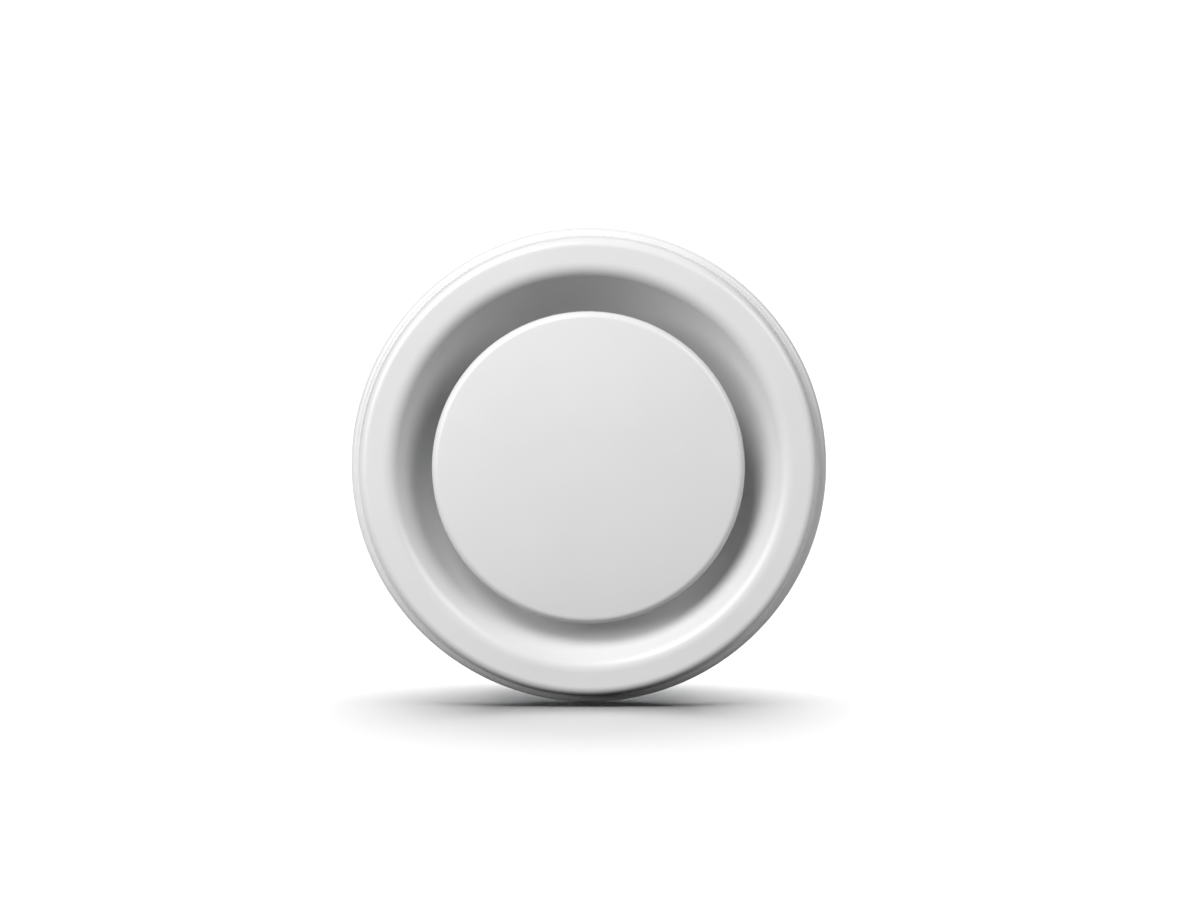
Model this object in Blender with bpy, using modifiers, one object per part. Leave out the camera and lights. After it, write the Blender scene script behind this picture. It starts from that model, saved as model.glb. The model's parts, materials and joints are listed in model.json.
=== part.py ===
"""Extract-air disc valve for a 125 mm duct, with its mounting frame.

The valve's axis is Y. The room is on the -Y side, the wall's face is the plane y = 0, and the duct
runs on into +Y. A turned piece is drawn as an outline of (radius, height) corners, where height is
the distance in front of the wall, and is spun about its own Z axis. Laying the piece down points
that Z into the room. All lengths are in metres.
"""

import math

import bmesh
import bpy
from mathutils import Matrix, Vector

# Fineness of turned shapes
RING_STEPS = 48
SMALL_STEPS = 24
RIVET_STEPS = 12
ARC_STEP = math.radians(18)
SMALL_FILLET = 0.0015
SHARP_ANGLE = math.radians(32)
MERGE = 0.00001
GAP = 0.0003

# Valve ring: pressed sheet, sizes on its visible side
RING_SHEET = 0.0010
LIP_RADIUS = 0.0820
LIP_HEIGHT = 0.0030
LIP_FOOT = 0.0003
LIP_ROUNDING = 0.0019
GROOVE_FILLET = 0.0005
GROOVE_RADIUS = 0.0794
WALL_TOP_RADIUS = 0.0781
FACE_HEIGHT = 0.0120
FACE_ROUNDING = 0.0032
MOUTH_RADIUS = 0.0672
MOUTH_ROUNDING = 0.0060
CONE_ANGLE = math.radians(52)
THROAT_RADIUS = 0.0524
THROAT_ROUNDING = 0.0050
THROAT_END = -0.0180
THROAT_OUTSIDE = THROAT_RADIUS + RING_SHEET

# Disc and spindle
DISC_SHEET = 0.0010
DISC_RADIUS = 0.0534
DISC_FRONT = 0.0160
DISC_CROWN = 0.0030
DISC_ROUNDING = 0.0026
DISC_BACK = 0.0097
BOSS_SHEET = 0.0010
BOSS_BRIM_RADIUS = 0.0180
BOSS_RADIUS = 0.0110
BOSS_BRIM = 0.0135
BOSS_TOP = 0.0085
BOSS_FOOT_FILLET = 0.0008
BOSS_TOP_FILLET = 0.0016
SPINDLE_RADIUS = 0.0040
SPINDLE_HEAD_RADIUS = 0.0080
SPINDLE_END = -0.0475
SPINDLE_CHAMFER = 0.0008
CLIP_GROOVE_RADIUS = 0.0032
STOP_CLIP_FRONT = -0.04415
STOP_CLIP_THICKNESS = 0.0008
STOP_CLIP_RADIUS = 0.0075
STOP_CLIP_PLAY = 0.00025
STOP_CLIP_HALF_MOUTH = 0.0033

# Bridge, bush and the spindle's lock
BRIDGE_SHEET = 0.0015
BRIDGE_WIDTH = 0.0200
BRIDGE_BACK = -0.0200
BRIDGE_LEG_END = -0.0095
BRIDGE_BEND = 0.0028
BRIDGE_LEG_RADIUS = THROAT_OUTSIDE + GAP + BRIDGE_SHEET
BRIDGE_FRONT = BRIDGE_BACK + BRIDGE_SHEET
BUSH_BARREL_RADIUS = 0.0060
BUSH_FLANGE_RADIUS = 0.0090
BUSH_FLANGE = 0.0020
BUSH_FLARE_RADIUS = 0.0072
BUSH_FLARE = 0.0007
BUSH_BORE_RADIUS = 0.0041
WASHER_RADIUS = 0.0074
WASHER_THICKNESS = 0.0008
NUT_ACROSS_FLATS = 0.0130
NUT_THICKNESS = 0.0045
NUT_BORE_RADIUS = 0.0043

# Rivets through the throat
RIVET_RADIUS = 0.0016
RIVET_HEAD_RADIUS = 0.0029
RIVET_HEAD_HEIGHT = 0.0011
RIVET_BULB_RADIUS = 0.0025
RIVET_BULB_LENGTH = 0.0018
RIVET_CROWN = 0.72
RIVET_HEIGHT = -0.0140
RIVET_LIFT = 0.0004
RIVET_HOLE_RADIUS = RIVET_RADIUS + GAP
BRIDGE_RIVET_SPREAD = math.radians(6.5)

# Spring clips: each lies on the throat, bows out to its crest, and turns in again to its tip
CLIP_SHEET = 0.0006
CLIP_WIDTH = 0.0120
CLIP_BEND = 0.0020
CLIP_SEAT_RADIUS = THROAT_OUTSIDE + GAP
CLIP_SEAT_FRONT = -0.0105
CLIP_SEAT_BACK = -0.0185
CLIP_CREST_RADIUS = CLIP_SEAT_RADIUS + 0.0065
CLIP_CREST = -0.0270
CLIP_TIP_RADIUS = CLIP_SEAT_RADIUS + 0.0042
CLIP_TIP = -0.0330
CLIP_ANGLES = [math.radians(angle) for angle in (90, 210, 330)]

# Mounting frame
FRAME_SHEET = 0.0008
COLLAR_RADIUS = 0.0620
COLLAR_END = -0.0420
FLANGE_RADIUS = 0.0778
FRAME_BEND = 0.0024
SCREW_CIRCLE_RADIUS = 0.0680
SCREW_RADIUS = 0.0020
SCREW_HEAD_RADIUS = 0.0036
SCREW_HEAD_HEIGHT = 0.0020
SCREW_CROWN_HEIGHT = 0.0001
SCREW_SHOULDER_HEIGHT = 0.0008
SCREW_LENGTH = 0.0260
SCREW_TAPER = 0.0030
SCREW_POINT_RADIUS = 0.0004
SCREW_ANGLES = [math.radians(angle) for angle in (45, 135, 225, 315)]

# Foam gasket behind the face, and the duct seal round the collar
GASKET_INNER_RADIUS = 0.0726
GASKET_OUTER_RADIUS = 0.0766
GASKET_CHAMFER = 0.0013
GASKET_FOOT = 0.0012
SEAL_FRONT = -0.0260
SEAL_BAND = 0.0007
SEAL_MARGIN = 0.0018
SEAL_LIP_REACH = 0.0022
SEAL_LIP_SWEEP = 0.0011
SEAL_LIP_TIP = 0.0004
SEAL_LIP_ROOT = 0.0012
SEAL_PITCH = 0.0032
SEAL_TAIL = 0.0004

# How far a cutter runs past the piece that it cuts
OVERRUN = 0.0010

COLOURS = {
    "powder_coat": ((0.86, 0.86, 0.87), 0.32, 0.0),
    "galvanised": ((0.62, 0.64, 0.66), 0.42, 1.0),
    "zinc": ((0.70, 0.71, 0.72), 0.30, 1.0),
    "spring_steel": ((0.33, 0.34, 0.36), 0.34, 1.0),
    "foam": ((0.16, 0.16, 0.17), 0.95, 0.0),
    "epdm": ((0.03, 0.03, 0.03), 0.70, 0.0),
}


def clear_scene():
    for obj in list(bpy.data.objects):
        bpy.data.objects.remove(obj)


def collection(name, hidden=False):
    made = bpy.data.collections.new(name)
    bpy.context.scene.collection.children.link(made)
    made.hide_render = hidden
    return made


def materials():
    made = {}
    for name, (colour, roughness, metallic) in COLOURS.items():
        material = bpy.data.materials.new(name)
        material.use_nodes = True
        shader = material.node_tree.nodes["Principled BSDF"]
        shader.inputs["Base Color"].default_value = (*colour, 1.0)
        shader.inputs["Roughness"].default_value = roughness
        shader.inputs["Metallic"].default_value = metallic
        made[name] = material
    return made


clear_scene()
PARTS = collection("extract_air_disc_valve")
CUTTERS = collection("cutters", hidden=True)
MATERIALS = materials()


def body_empty(name, parent=None):
    """An empty on the valve's axis that carries the pieces of one moving body."""
    empty = bpy.data.objects.new(name, None)
    PARTS.objects.link(empty)
    empty.parent = parent
    return empty


def add_piece(name, mesh, material, parent):
    piece = bpy.data.objects.new(name, mesh)
    PARTS.objects.link(piece)
    piece.parent = parent
    mesh.materials.clear()
    mesh.materials.append(MATERIALS[material])
    return piece


def add_cutter(name, mesh):
    cutter = bpy.data.objects.new(name, mesh)
    CUTTERS.objects.link(cutter)
    cutter.hide_render = True
    cutter.display_type = "WIRE"
    return cutter


def lay_down(piece, angle=0.0):
    """Point the piece's Z into the room and its X outwards at this angle round the valve's axis."""
    piece.rotation_euler = (math.pi / 2, -angle, 0)


def around_axis(radius, height, angle):
    """The place at this radius, height in front of the wall and angle from +X towards +Z."""
    return Vector((radius * math.cos(angle), -height, radius * math.sin(angle)))


def rounded_path(corners):
    """Points along straight runs joined by tangent arcs. A corner is (radius, height, fillet)."""
    points = [Vector(corners[0][:2])]
    for before, here, after in zip(corners, corners[1:], corners[2:]):
        corner = Vector(here[:2])
        fillet = here[2]
        back = (Vector(before[:2]) - corner).normalized()
        ahead = (Vector(after[:2]) - corner).normalized()
        turn = math.pi - back.angle(ahead)
        if fillet == 0:
            points.append(corner)
            continue
        reach = fillet * math.tan(turn / 2)
        centre = corner + (back + ahead).normalized() * fillet / math.cos(turn / 2)
        first = corner + back * reach - centre
        last = corner + ahead * reach - centre
        start = math.atan2(first.y, first.x)
        sweep = (math.atan2(last.y, last.x) - start + math.pi) % (2 * math.pi) - math.pi
        steps = 2 if fillet < SMALL_FILLET else max(2, round(turn / ARC_STEP))
        for step in range(steps + 1):
            angle = start + sweep * step / steps
            points.append(centre + fillet * Vector((math.cos(angle), math.sin(angle))))
    points.append(Vector(corners[-1][:2]))
    return points


def square(*corners):
    """Corners with no fillet."""
    return [(radius, height, 0) for radius, height in corners]


def keep_shape(piece):
    """Make the modifiers' result the piece's own mesh, with smooth faces and crisp edges."""
    bpy.context.view_layer.update()
    evaluated = piece.evaluated_get(bpy.context.evaluated_depsgraph_get())
    mesh = bpy.data.meshes.new_from_object(evaluated)
    piece.modifiers.clear()
    piece.data = mesh
    mesh.name = piece.name
    mesh.shade_smooth()
    mesh.set_sharp_from_angle(angle=SHARP_ANGLE)


def turned(name, corners, material, parent, steps=RING_STEPS, closed=False, sheet=0.0):
    """A piece spun from its outline: a solid, a closed ring section, or a shell of this sheet."""
    points = rounded_path(corners)
    edges = [(i, i + 1) for i in range(len(points) - 1)]
    if closed:
        edges.append((len(points) - 1, 0))
    mesh = bpy.data.meshes.new(name)
    mesh.from_pydata([(point.x, 0, point.y) for point in points], edges, [])
    piece = add_piece(name, mesh, material, parent)
    spin = piece.modifiers.new("spin", "SCREW")
    spin.steps = steps
    spin.render_steps = steps
    spin.use_merge_vertices = True
    spin.merge_threshold = MERGE
    if sheet:
        wall = piece.modifiers.new("sheet", "SOLIDIFY")
        wall.thickness = sheet
        wall.offset = -1
        wall.use_even_offset = True
    lay_down(piece)
    return piece


def cut(piece, cutter, operation="DIFFERENCE"):
    boolean = piece.modifiers.new(cutter.name, "BOOLEAN")
    boolean.operation = operation
    boolean.solver = "EXACT"
    boolean.object = cutter


def rods(name, radius, ends, steps=RIVET_STEPS):
    """A cutter of one round rod for each (start, end) pair of points."""
    mesh = bpy.data.meshes.new(name)
    shape = bmesh.new()
    for start, end in ends:
        run = end - start
        turn = run.to_track_quat("Z", "Y").to_matrix().to_4x4()
        bmesh.ops.create_cone(
            shape,
            cap_ends=True,
            segments=steps,
            radius1=radius,
            radius2=radius,
            depth=run.length,
            matrix=Matrix.Translation((start + end) / 2) @ turn,
        )
    shape.to_mesh(mesh)
    shape.free()
    return add_cutter(name, mesh)


def block(name, low, high):
    """A cutter in the shape of a box between two corners."""
    low, high = Vector(low), Vector(high)
    mesh = bpy.data.meshes.new(name)
    shape = bmesh.new()
    place = Matrix.Translation((low + high) / 2) @ Matrix.Diagonal((*(high - low), 1))
    bmesh.ops.create_cube(shape, size=1, matrix=place)
    shape.to_mesh(mesh)
    shape.free()
    return add_cutter(name, mesh)


def bridge_rivet_angles():
    return [end + side * BRIDGE_RIVET_SPREAD for end in (0, math.pi) for side in (1, -1)]


def throat_holes(name, angles):
    """Rods that drill the rivet holes through the throat and whatever is riveted to it."""
    inside = THROAT_RADIUS - OVERRUN
    outside = BRIDGE_LEG_RADIUS + OVERRUN
    return rods(
        name,
        RIVET_HOLE_RADIUS,
        [
            (around_axis(inside, RIVET_HEIGHT, angle), around_axis(outside, RIVET_HEIGHT, angle))
            for angle in angles
        ],
    )


def make_mounting_frame(parent):
    inside = COLLAR_RADIUS - FRAME_SHEET
    frame = turned(
        "mounting_frame",
        [
            (inside, COLLAR_END, 0),
            (inside, FRAME_SHEET, FRAME_BEND),
            (FLANGE_RADIUS, FRAME_SHEET, 0),
        ],
        "galvanised",
        parent,
        sheet=FRAME_SHEET,
    )
    holes = [
        (
            around_axis(SCREW_CIRCLE_RADIUS, -OVERRUN, angle),
            around_axis(SCREW_CIRCLE_RADIUS, FRAME_SHEET + OVERRUN, angle),
        )
        for angle in SCREW_ANGLES
    ]
    cut(frame, rods("frame_screw_holes", SCREW_RADIUS + GAP, holes))
    keep_shape(frame)


def make_frame_screws(parent):
    under_head = FRAME_SHEET + GAP
    top = under_head + SCREW_HEAD_HEIGHT
    tip = under_head - SCREW_LENGTH
    outline = square(
        (0, top),
        (0.55 * SCREW_HEAD_RADIUS, top - SCREW_CROWN_HEIGHT),
        (0.88 * SCREW_HEAD_RADIUS, top - SCREW_SHOULDER_HEIGHT),
        (SCREW_HEAD_RADIUS, under_head),
        (SCREW_RADIUS, under_head),
        (SCREW_RADIUS, tip + SCREW_TAPER),
        (SCREW_POINT_RADIUS, tip),
        (0, tip),
    )
    for number, angle in enumerate(SCREW_ANGLES, start=1):
        screw = turned(f"frame_screw_{number}", outline, "zinc", parent, RIVET_STEPS)
        screw.location = around_axis(SCREW_CIRCLE_RADIUS, 0, angle)
        keep_shape(screw)


def make_duct_seal(parent):
    inside = COLLAR_RADIUS + GAP
    band = inside + SEAL_BAND
    tip = inside + SEAL_LIP_REACH
    corners = [(inside, SEAL_FRONT), (band, SEAL_FRONT)]
    for lip in range(2):
        root = SEAL_FRONT - SEAL_MARGIN - lip * SEAL_PITCH
        corners += [
            (band, root),
            (tip, root + SEAL_LIP_SWEEP),
            (tip, root + SEAL_LIP_SWEEP - SEAL_LIP_TIP),
            (band, root - SEAL_LIP_ROOT),
        ]
    back = SEAL_FRONT - SEAL_MARGIN - 2 * SEAL_PITCH + SEAL_TAIL
    corners += [(band, back), (inside, back)]
    keep_shape(turned("duct_seal", square(*corners), "epdm", parent, closed=True))


def make_valve_ring(parent):
    cone_drop = (MOUTH_RADIUS - THROAT_RADIUS) * math.tan(CONE_ANGLE)
    ring = turned(
        "valve_ring",
        [
            (THROAT_RADIUS, THROAT_END, 0),
            (THROAT_RADIUS, FACE_HEIGHT - cone_drop, THROAT_ROUNDING),
            (MOUTH_RADIUS, FACE_HEIGHT, MOUTH_ROUNDING),
            (WALL_TOP_RADIUS, FACE_HEIGHT, FACE_ROUNDING),
            (GROOVE_RADIUS, LIP_HEIGHT, GROOVE_FILLET),
            (LIP_RADIUS, LIP_HEIGHT, LIP_ROUNDING),
            (LIP_RADIUS, LIP_FOOT, 0),
        ],
        "powder_coat",
        parent,
        sheet=RING_SHEET,
    )
    cut(ring, throat_holes("throat_holes", bridge_rivet_angles() + CLIP_ANGLES))
    keep_shape(ring)


def make_face_gasket(parent):
    front = FACE_HEIGHT - RING_SHEET - GAP
    outline = square(
        (GASKET_INNER_RADIUS, front),
        (GASKET_OUTER_RADIUS - GASKET_CHAMFER, front),
        (GASKET_OUTER_RADIUS, front - GASKET_CHAMFER),
        (GASKET_OUTER_RADIUS, GASKET_FOOT),
        (GASKET_INNER_RADIUS, GASKET_FOOT),
    )
    keep_shape(turned("face_gasket", outline, "foam", parent, closed=True))


def make_bridge(parent):
    """A strip across the throat, with its ends bent forwards and curved to the throat's outside."""
    bridge = turned(
        "bridge",
        [
            (BRIDGE_LEG_RADIUS, BRIDGE_LEG_END, 0),
            (BRIDGE_LEG_RADIUS, BRIDGE_BACK, BRIDGE_BEND),
            (BUSH_BARREL_RADIUS + GAP, BRIDGE_BACK, 0),
        ],
        "galvanised",
        parent,
        sheet=BRIDGE_SHEET,
    )
    reach = BRIDGE_LEG_RADIUS + OVERRUN
    half = BRIDGE_WIDTH / 2
    low = (-reach, -BRIDGE_LEG_END - OVERRUN, -half)
    high = (reach, -BRIDGE_BACK + OVERRUN, half)
    strip = block("bridge_strip", low, high)
    cut(bridge, strip, "INTERSECT")
    cut(bridge, throat_holes("bridge_holes", bridge_rivet_angles()))
    keep_shape(bridge)


def make_spindle_bush(parent):
    front = BRIDGE_FRONT + GAP + BUSH_FLANGE
    under_flange = BRIDGE_FRONT + GAP
    flare = BRIDGE_BACK - GAP
    outline = square(
        (BUSH_BORE_RADIUS, front),
        (BUSH_FLANGE_RADIUS, front),
        (BUSH_FLANGE_RADIUS, under_flange),
        (BUSH_BARREL_RADIUS, under_flange),
        (BUSH_BARREL_RADIUS, flare),
        (BUSH_FLARE_RADIUS, flare),
        (BUSH_FLARE_RADIUS, flare - BUSH_FLARE),
        (BUSH_BORE_RADIUS, flare - BUSH_FLARE),
    )
    keep_shape(turned("spindle_bush", outline, "zinc", parent, SMALL_STEPS, closed=True))


def make_rivets(name, angles, grip, parent):
    """Blind rivets from inside the throat. Each one's own Z points out along its radius."""
    bulb = grip + GAP
    outline = square(
        (0, bulb + RIVET_BULB_LENGTH),
        (RIVET_CROWN * RIVET_BULB_RADIUS, bulb + RIVET_BULB_LENGTH),
        (RIVET_BULB_RADIUS, bulb + RIVET_BULB_LENGTH / 2),
        (RIVET_BULB_RADIUS, bulb),
        (RIVET_RADIUS, bulb),
        (RIVET_RADIUS, -RIVET_LIFT),
        (RIVET_HEAD_RADIUS, -RIVET_LIFT),
        (RIVET_CROWN * RIVET_HEAD_RADIUS, -RIVET_LIFT - RIVET_CROWN * RIVET_HEAD_HEIGHT),
        (0, -RIVET_LIFT - RIVET_HEAD_HEIGHT),
    )
    for number, angle in enumerate(angles, start=1):
        rivet = turned(f"{name}_{number}", outline, "zinc", parent, RIVET_STEPS)
        rivet.location = around_axis(THROAT_RADIUS, RIVET_HEIGHT, angle)
        rivet.rotation_euler = (0, math.pi / 2 - angle, 0)
        keep_shape(rivet)


def make_spring_clips(parent):
    """Leaf springs on the throat's outside, bowed out so that they press on the frame's collar."""
    side = rounded_path(
        [
            (CLIP_SEAT_RADIUS, CLIP_SEAT_FRONT, 0),
            (CLIP_SEAT_RADIUS, CLIP_SEAT_BACK, CLIP_BEND),
            (CLIP_CREST_RADIUS, CLIP_CREST, CLIP_BEND),
            (CLIP_TIP_RADIUS, CLIP_TIP, 0),
        ]
    )
    shape = bmesh.new()
    corners = [shape.verts.new((point.x, -CLIP_WIDTH / 2, point.y)) for point in side]
    edges = [shape.edges.new(pair) for pair in zip(corners, corners[1:])]
    widened = bmesh.ops.extrude_edge_only(shape, edges=edges)["geom"]
    moved = [item for item in widened if isinstance(item, bmesh.types.BMVert)]
    bmesh.ops.translate(shape, verts=moved, vec=(0, CLIP_WIDTH, 0))
    mesh = bpy.data.meshes.new("spring_clip")
    shape.to_mesh(mesh)
    shape.free()

    first, *others = CLIP_ANGLES
    clip = add_piece("spring_clip_1", mesh, "spring_steel", parent)
    leaf = clip.modifiers.new("leaf", "SOLIDIFY")
    leaf.thickness = CLIP_SHEET
    leaf.offset = -1
    leaf.use_even_offset = True
    lay_down(clip, first)
    cut(clip, throat_holes("clip_hole", [first]))
    keep_shape(clip)
    for number, angle in enumerate(others, start=2):
        copy = add_piece(f"spring_clip_{number}", clip.data, "spring_steel", parent)
        lay_down(copy, angle)


def crown(radius):
    """Height of the disc's domed front at this radius."""
    return DISC_FRONT - DISC_CROWN * (radius / DISC_RADIUS) ** 2


def make_valve_disc(parent):
    dome = [(share * DISC_RADIUS, crown(share * DISC_RADIUS), 0) for share in (0, 0.35, 0.7)]
    edge = [(DISC_RADIUS, crown(DISC_RADIUS), DISC_ROUNDING), (DISC_RADIUS, DISC_BACK, 0)]
    keep_shape(turned("valve_disc", dome + edge, "powder_coat", parent, sheet=DISC_SHEET))


def make_disc_boss(parent):
    """A hat on the disc's back that holds the spindle's head."""
    boss = turned(
        "disc_boss",
        [
            (BOSS_BRIM_RADIUS, BOSS_BRIM, 0),
            (BOSS_RADIUS, BOSS_BRIM, BOSS_FOOT_FILLET),
            (BOSS_RADIUS, BOSS_TOP, BOSS_TOP_FILLET),
            (SPINDLE_RADIUS + GAP, BOSS_TOP, 0),
        ],
        "galvanised",
        parent,
        SMALL_STEPS,
        sheet=BOSS_SHEET,
    )
    keep_shape(boss)


def make_spindle(parent):
    head_front = DISC_FRONT - DISC_SHEET - GAP
    head_back = BOSS_TOP + BOSS_SHEET + GAP
    groove_front = STOP_CLIP_FRONT + STOP_CLIP_PLAY
    groove_back = STOP_CLIP_FRONT - STOP_CLIP_THICKNESS - STOP_CLIP_PLAY
    outline = square(
        (0, head_front),
        (SPINDLE_HEAD_RADIUS, head_front),
        (SPINDLE_HEAD_RADIUS, head_back),
        (SPINDLE_RADIUS, head_back),
        (SPINDLE_RADIUS, groove_front),
        (CLIP_GROOVE_RADIUS, groove_front),
        (CLIP_GROOVE_RADIUS, groove_back),
        (SPINDLE_RADIUS, groove_back),
        (SPINDLE_RADIUS, SPINDLE_END + SPINDLE_CHAMFER),
        (SPINDLE_RADIUS - SPINDLE_CHAMFER, SPINDLE_END),
        (0, SPINDLE_END),
    )
    keep_shape(turned("spindle", outline, "zinc", parent, SMALL_STEPS))


def make_stop_clip(parent):
    """A retaining clip, open on its lower side so that it slides into the spindle's groove."""
    back = STOP_CLIP_FRONT - STOP_CLIP_THICKNESS
    inner = CLIP_GROOVE_RADIUS + STOP_CLIP_PLAY
    outline = square(
        (inner, STOP_CLIP_FRONT),
        (STOP_CLIP_RADIUS, STOP_CLIP_FRONT),
        (STOP_CLIP_RADIUS, back),
        (inner, back),
    )
    clip = turned("stop_clip", outline, "spring_steel", parent, SMALL_STEPS, closed=True)
    low = (-STOP_CLIP_HALF_MOUTH, -STOP_CLIP_FRONT - OVERRUN, -STOP_CLIP_RADIUS - OVERRUN)
    high = (STOP_CLIP_HALF_MOUTH, -back + OVERRUN, 0)
    cut(clip, block("stop_clip_mouth", low, high))
    keep_shape(clip)


def make_lock_washer(parent):
    front = BRIDGE_BACK - GAP - BUSH_FLARE - GAP
    outline = square(
        (NUT_BORE_RADIUS, front),
        (WASHER_RADIUS, front),
        (WASHER_RADIUS, front - WASHER_THICKNESS),
        (NUT_BORE_RADIUS, front - WASHER_THICKNESS),
    )
    washer = turned("lock_washer", outline, "spring_steel", parent, SMALL_STEPS, closed=True)
    keep_shape(washer)
    return front - WASHER_THICKNESS


def make_lock_nut(parent, washer_back):
    front = washer_back - GAP
    middle = front - NUT_THICKNESS / 2
    mesh = bpy.data.meshes.new("lock_nut")
    shape = bmesh.new()
    corner_radius = NUT_ACROSS_FLATS / 2 / math.cos(math.pi / 6)
    bmesh.ops.create_cone(
        shape,
        cap_ends=True,
        segments=6,
        radius1=corner_radius,
        radius2=corner_radius,
        depth=NUT_THICKNESS,
    )
    shape.to_mesh(mesh)
    shape.free()
    nut = add_piece("lock_nut", mesh, "zinc", parent)
    nut.location = around_axis(0, middle, 0)
    lay_down(nut)
    bore = (
        around_axis(0, front + OVERRUN, 0),
        around_axis(0, front - NUT_THICKNESS - OVERRUN, 0),
    )
    cut(nut, rods("nut_bore", NUT_BORE_RADIUS, [bore], SMALL_STEPS))
    keep_shape(nut)


def main():
    frame = body_empty("frame_body")
    valve = body_empty("valve_body", frame)
    stop = body_empty("stop_clip_body", valve)
    disc = body_empty("disc_body", stop)
    washer = body_empty("washer_body", valve)
    nut = body_empty("nut_body", washer)

    make_mounting_frame(frame)
    make_frame_screws(frame)
    make_duct_seal(frame)

    make_valve_ring(valve)
    make_face_gasket(valve)
    make_bridge(valve)
    make_spindle_bush(valve)
    make_rivets("bridge_rivet", bridge_rivet_angles(), RING_SHEET + GAP + BRIDGE_SHEET, valve)
    make_spring_clips(valve)
    make_rivets("clip_rivet", CLIP_ANGLES, RING_SHEET + GAP + CLIP_SHEET, valve)

    make_stop_clip(stop)
    make_valve_disc(disc)
    make_disc_boss(disc)
    make_spindle(disc)
    washer_back = make_lock_washer(washer)
    make_lock_nut(nut, washer_back)


main()
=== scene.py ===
"""Looks of the extract-air disc valve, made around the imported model.

Lengths are in metres and lamp angles in degrees.

The valve's axis is Y, the room is on the -Y side and the wall's face is the plane y = 0. Height is
the distance in front of the wall, and an angle runs from +X towards +Z. Each piece here is a finer
copy of a CAD node: its place comes from the node's box, and it rides on the node's body. A piece is
modelled in its own frame first, with local Z along its axis, and is then put in place.
"""

import json
import math

import bmesh
import bpy
from mathutils import Matrix, Vector, noise

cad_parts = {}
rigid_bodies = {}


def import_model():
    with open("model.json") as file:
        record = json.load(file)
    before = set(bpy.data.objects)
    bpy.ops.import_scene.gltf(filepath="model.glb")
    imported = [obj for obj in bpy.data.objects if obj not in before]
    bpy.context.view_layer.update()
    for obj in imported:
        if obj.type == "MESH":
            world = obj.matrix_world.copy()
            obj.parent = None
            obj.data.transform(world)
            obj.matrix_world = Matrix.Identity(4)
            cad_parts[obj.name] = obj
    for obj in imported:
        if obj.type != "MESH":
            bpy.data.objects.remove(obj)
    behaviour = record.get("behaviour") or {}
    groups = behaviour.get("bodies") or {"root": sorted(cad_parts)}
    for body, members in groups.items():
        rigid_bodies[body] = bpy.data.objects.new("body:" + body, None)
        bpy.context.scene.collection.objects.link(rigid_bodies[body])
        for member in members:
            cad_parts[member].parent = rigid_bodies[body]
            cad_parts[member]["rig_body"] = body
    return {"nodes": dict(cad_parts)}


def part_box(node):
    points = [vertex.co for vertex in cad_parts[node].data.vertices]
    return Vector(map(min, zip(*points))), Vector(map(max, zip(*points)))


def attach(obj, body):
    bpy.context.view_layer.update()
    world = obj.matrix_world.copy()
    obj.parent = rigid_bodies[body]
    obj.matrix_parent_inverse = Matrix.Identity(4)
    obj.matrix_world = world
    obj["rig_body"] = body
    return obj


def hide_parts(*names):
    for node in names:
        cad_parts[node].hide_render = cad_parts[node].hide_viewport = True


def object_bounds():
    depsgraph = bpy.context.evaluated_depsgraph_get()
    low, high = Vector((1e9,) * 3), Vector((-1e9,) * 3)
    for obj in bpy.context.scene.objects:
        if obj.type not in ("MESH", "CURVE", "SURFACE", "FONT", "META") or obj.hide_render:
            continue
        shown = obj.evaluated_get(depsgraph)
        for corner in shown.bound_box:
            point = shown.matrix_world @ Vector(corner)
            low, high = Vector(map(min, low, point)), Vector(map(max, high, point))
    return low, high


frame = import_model()
CAD_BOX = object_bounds()

FULL_TURN = 2 * math.pi

# Fineness of the meshes
ARC_STEP = math.radians(9)
SMALL_FILLET = 0.0006
SMALL_ARC_STEP = math.radians(18)
ARC_GUARD = 0.00005
RING_STEPS = 240
SMALL_STEPS = 96
RIVET_STEPS = 48
THREAD_ROWS = 8
SHARP_ANGLE = math.radians(25)
MERGE = 1e-7

# Sheets and the rounding of their cut edges
PAINTED_SHEET = 0.0010
BRIDGE_SHEET = 0.0015
FRAME_SHEET = 0.0008
CLIP_SHEET = 0.0006
PAINTED_RIM = 0.0004
CUT_RIM = 0.0001

# The throat, which the rivets and spring clips sit on
THROAT_RADIUS = 0.0524
RIVET_HOLE_RADIUS = 0.0019
GAP = 0.0003

# Camera, as the photograph's view, and the frame's width on the plane through the valve
CAMERA_DISTANCE = 0.80
CAMERA_ELEVATION = 3.6
CAMERA_AZIMUTH = 0.8
CAMERA_SENSOR = 36.0
VIEW_WIDTH = 0.4152
AIM = Vector((0.0039, 0.0, 0.0057))
LAMP_DISTANCE = 1.1

BRIDGE_RIVETS = [f"bridge_rivet_{number}" for number in (1, 2, 3, 4)]
CLIP_RIVETS = [f"clip_rivet_{number}" for number in (1, 2, 3)]
SPRING_CLIPS = [f"spring_clip_{number}" for number in (1, 2, 3)]
FRAME_SCREWS = [f"frame_screw_{number}" for number in (1, 2, 3, 4)]


# ---------------------------------------------------------------- places in the frame


def reach(node):
    """Outer radius, front height and back height of a CAD node that is turned about the axis."""
    low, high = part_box(node)
    return max(high.x, high.z), -low.y, -high.y


def bearing(node):
    """Angle round the valve's axis, and height, of a CAD node's middle."""
    low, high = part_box(node)
    middle = (low + high) / 2
    return math.atan2(middle.z, middle.x), -middle.y


def into_room(angle=0.0):
    """Turns local Z into the room, and local X to this angle round the valve's axis."""
    return Matrix.Rotation(-angle, 4, "Y") @ Matrix.Rotation(math.pi / 2, 4, "X")


def outwards(angle, radius, height):
    """Puts the local origin at this radius and height, with local Z along the radius at this angle."""
    return into_room(angle) @ Matrix.Translation((radius, 0, height)) @ Matrix.Rotation(math.pi / 2, 4, "Y")


# ---------------------------------------------------------------- outlines


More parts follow.
